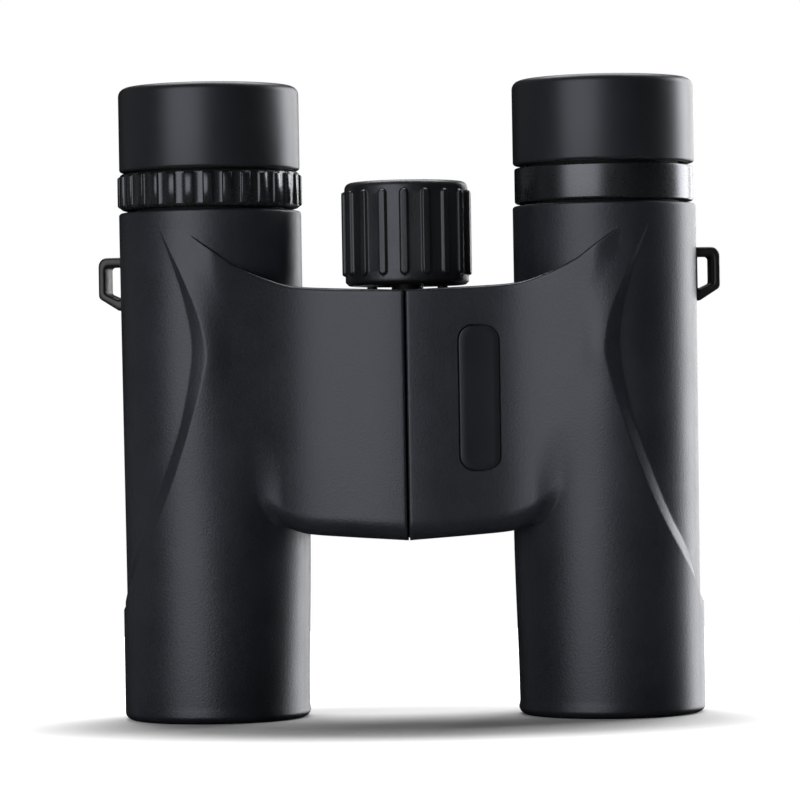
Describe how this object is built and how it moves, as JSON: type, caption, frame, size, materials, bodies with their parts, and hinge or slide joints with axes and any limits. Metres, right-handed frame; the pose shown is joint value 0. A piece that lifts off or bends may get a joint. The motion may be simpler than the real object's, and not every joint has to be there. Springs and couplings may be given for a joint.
{
  "type": "binoculars",
  "caption": "Compact roof-prism binoculars in black rubber armour, folding about a central hinge, with a ribbed focus wheel, diopter ring and twist-up eyecups.",
  "frame": {"origin": "on the standing surface, midway between the two barrel axes, at the centre of the overall box", "axes": "+Z from the objectives to the eyepieces, -Y towards the top side in use, -X towards the user's right half"},
  "size_m": [0.1142, 0.0342, 0.1153],
  "materials": {
    "armour_rubber": "fine-grained matt rubber, slightly blue black",
    "eyecup_rubber": "smooth satin rubber",
    "wheel_rubber": "stippled satin rubber",
    "housing_plastic": "glass-filled black nylon",
    "inner_plastic": "dead matt black",
    "ring_plastic": "satin black",
    "collar_gloss": "polished black",
    "plate_satin": "satin, blank",
    "lug_metal": "satin black paint",
    "anodised_black": "black anodised",
    "objective_glass": "green-violet coated",
    "ocular_glass": "blue-violet coated",
    "prism_glass": "polished",
    "spring_steel": "spring steel",
    "steel": "turned steel",
    "blackened_steel": "blackened",
    "brass": "turned brass",
    "acetal": "natural acetal"
  },
  "bodies": {
    "right_half": {"right_housing": "housing_plastic", "right_armour": "armour_rubber", "right_strap_lug": "lug_metal", "right_objective_cell": "anodised_black", "right_objective_retaining_ring": "anodised_black", "right_objective_crown_lens": "objective_glass", "right_objective_flint_lens": "objective_glass", "right_prism_cage": "inner_plastic", "right_entrance_prism": "prism_glass", "right_roof_prism": "prism_glass", "right_prism_clip": "spring_steel", "right_eyepiece_tube": "inner_plastic", "right_field_stop": "anodised_black", "hinge_axle": "steel", "hinge_front_plug": "housing_plastic", "hinge_rear_plate": "housing_plastic", "hinge_plate_screws": "blackened_steel"},
    "left_half": {"left_housing": "housing_plastic", "left_armour": "armour_rubber", "left_strap_lug": "lug_metal", "left_objective_cell": "anodised_black", "left_objective_retaining_ring": "anodised_black", "left_objective_crown_lens": "objective_glass", "left_objective_flint_lens": "objective_glass", "left_prism_cage": "inner_plastic", "left_entrance_prism": "prism_glass", "left_roof_prism": "prism_glass", "left_prism_clip": "spring_steel", "left_eyepiece_tube": "inner_plastic", "left_field_stop": "anodised_black", "left_collar_ring": "collar_gloss", "name_plate": "plate_satin", "left_ocular_cell": "anodised_black", "left_field_lens": "ocular_glass", "left_eye_lens": "ocular_glass", "left_ocular_retaining_ring": "anodised_black"},
    "right_ocular": {"right_ocular_cell": "anodised_black", "right_field_lens": "ocular_glass", "right_eye_lens": "ocular_glass", "right_ocular_retaining_ring": "anodised_black", "diopter_pin": "steel"},
    "diopter": {"diopter_ring": "ring_plastic"},
    "focus_drive": {"focus_wheel_core": "housing_plastic", "focus_wheel_grip": "wheel_rubber", "focus_wheel_cap": "ring_plastic", "focus_screw": "steel"},
    "focus_carriage": {"focus_nut": "brass", "focus_spool": "acetal", "focus_cross_pins": "steel"},
    "right_focus": {"right_focus_cell": "anodised_black", "right_focus_lens": "ocular_glass"},
    "left_focus": {"left_focus_cell": "anodised_black", "left_focus_lens": "ocular_glass"},
    "right_eyecup_slide": {"right_slip_ring": "inner_plastic"},
    "right_eyecup": {"right_eyecup_core": "housing_plastic", "right_eyecup_rubber": "eyecup_rubber"},
    "left_eyecup_slide": {"left_slip_ring": "inner_plastic"},
    "left_eyecup": {"left_eyecup_core": "housing_plastic", "left_eyecup_rubber": "eyecup_rubber"}
  },
  "joints": [
    {"name": "ipd_fold", "type": "hinge", "parent": "right_half", "child": "left_half", "pos_m": [0, -0.002, 0.055], "axis": [0, 0, 1], "range_deg": [0, 70]},
    {"name": "focus_turn", "type": "hinge", "parent": "right_half", "child": "focus_drive", "pos_m": [0, -0.002, 0.0877], "axis": [0, 0, 1], "range_deg": [-90, 450]},
    {"name": "carriage_slide", "type": "slide", "parent": "right_half", "child": "focus_carriage", "axis": [0, 0, 1], "range_m": [-0.00061, 0.00301]},
    {"name": "right_focus_slide", "type": "slide", "parent": "right_half", "child": "right_focus", "axis": [0, 0, 1], "range_m": [-0.00061, 0.00301]},
    {"name": "left_focus_slide", "type": "slide", "parent": "left_half", "child": "left_focus", "axis": [0, 0, 1], "range_m": [-0.00061, 0.00301]},
    {"name": "diopter_turn", "type": "hinge", "parent": "right_half", "child": "diopter", "pos_m": [-0.036, 0, 0.0958], "axis": [0, 0, 1], "range_deg": [-35, 35]},
    {"name": "right_ocular_slide", "type": "slide", "parent": "right_half", "child": "right_ocular", "axis": [0, 0, 1], "range_m": [-0.00101, 0.00101]},
    {"name": "right_eyecup_lift", "type": "slide", "parent": "right_half", "child": "right_eyecup_slide", "axis": [0, 0, 1], "range_m": [0, 0.00651]},
    {"name": "right_eyecup_twist", "type": "hinge", "parent": "right_eyecup_slide", "child": "right_eyecup", "pos_m": [-0.036, 0, 0.1074], "axis": [0, 0, 1], "range_deg": [0, 100]},
    {"name": "left_eyecup_lift", "type": "slide", "parent": "left_half", "child": "left_eyecup_slide", "axis": [0, 0, 1], "range_m": [0, 0.00651]},
    {"name": "left_eyecup_twist", "type": "hinge", "parent": "left_eyecup_slide", "child": "left_eyecup", "pos_m": [0.036, 0, 0.1074], "axis": [0, 0, 1], "range_deg": [0, 100]}
  ],
  "couplings": [
    {"joint": "carriage_slide", "follows": "focus_turn", "m_per_rad": 0.000382},
    {"joint": "right_focus_slide", "follows": "focus_turn", "m_per_rad": 0.000382},
    {"joint": "left_focus_slide", "follows": "focus_turn", "m_per_rad": 0.000382},
    {"joint": "right_ocular_slide", "follows": "diopter_turn", "m_per_rad": 0.001637},
    {"joint": "right_eyecup_lift", "follows": "right_eyecup_twist", "m_per_rad": 0.0037242},
    {"joint": "left_eyecup_lift", "follows": "left_eyecup_twist", "m_per_rad": 0.0037242}
  ]
}
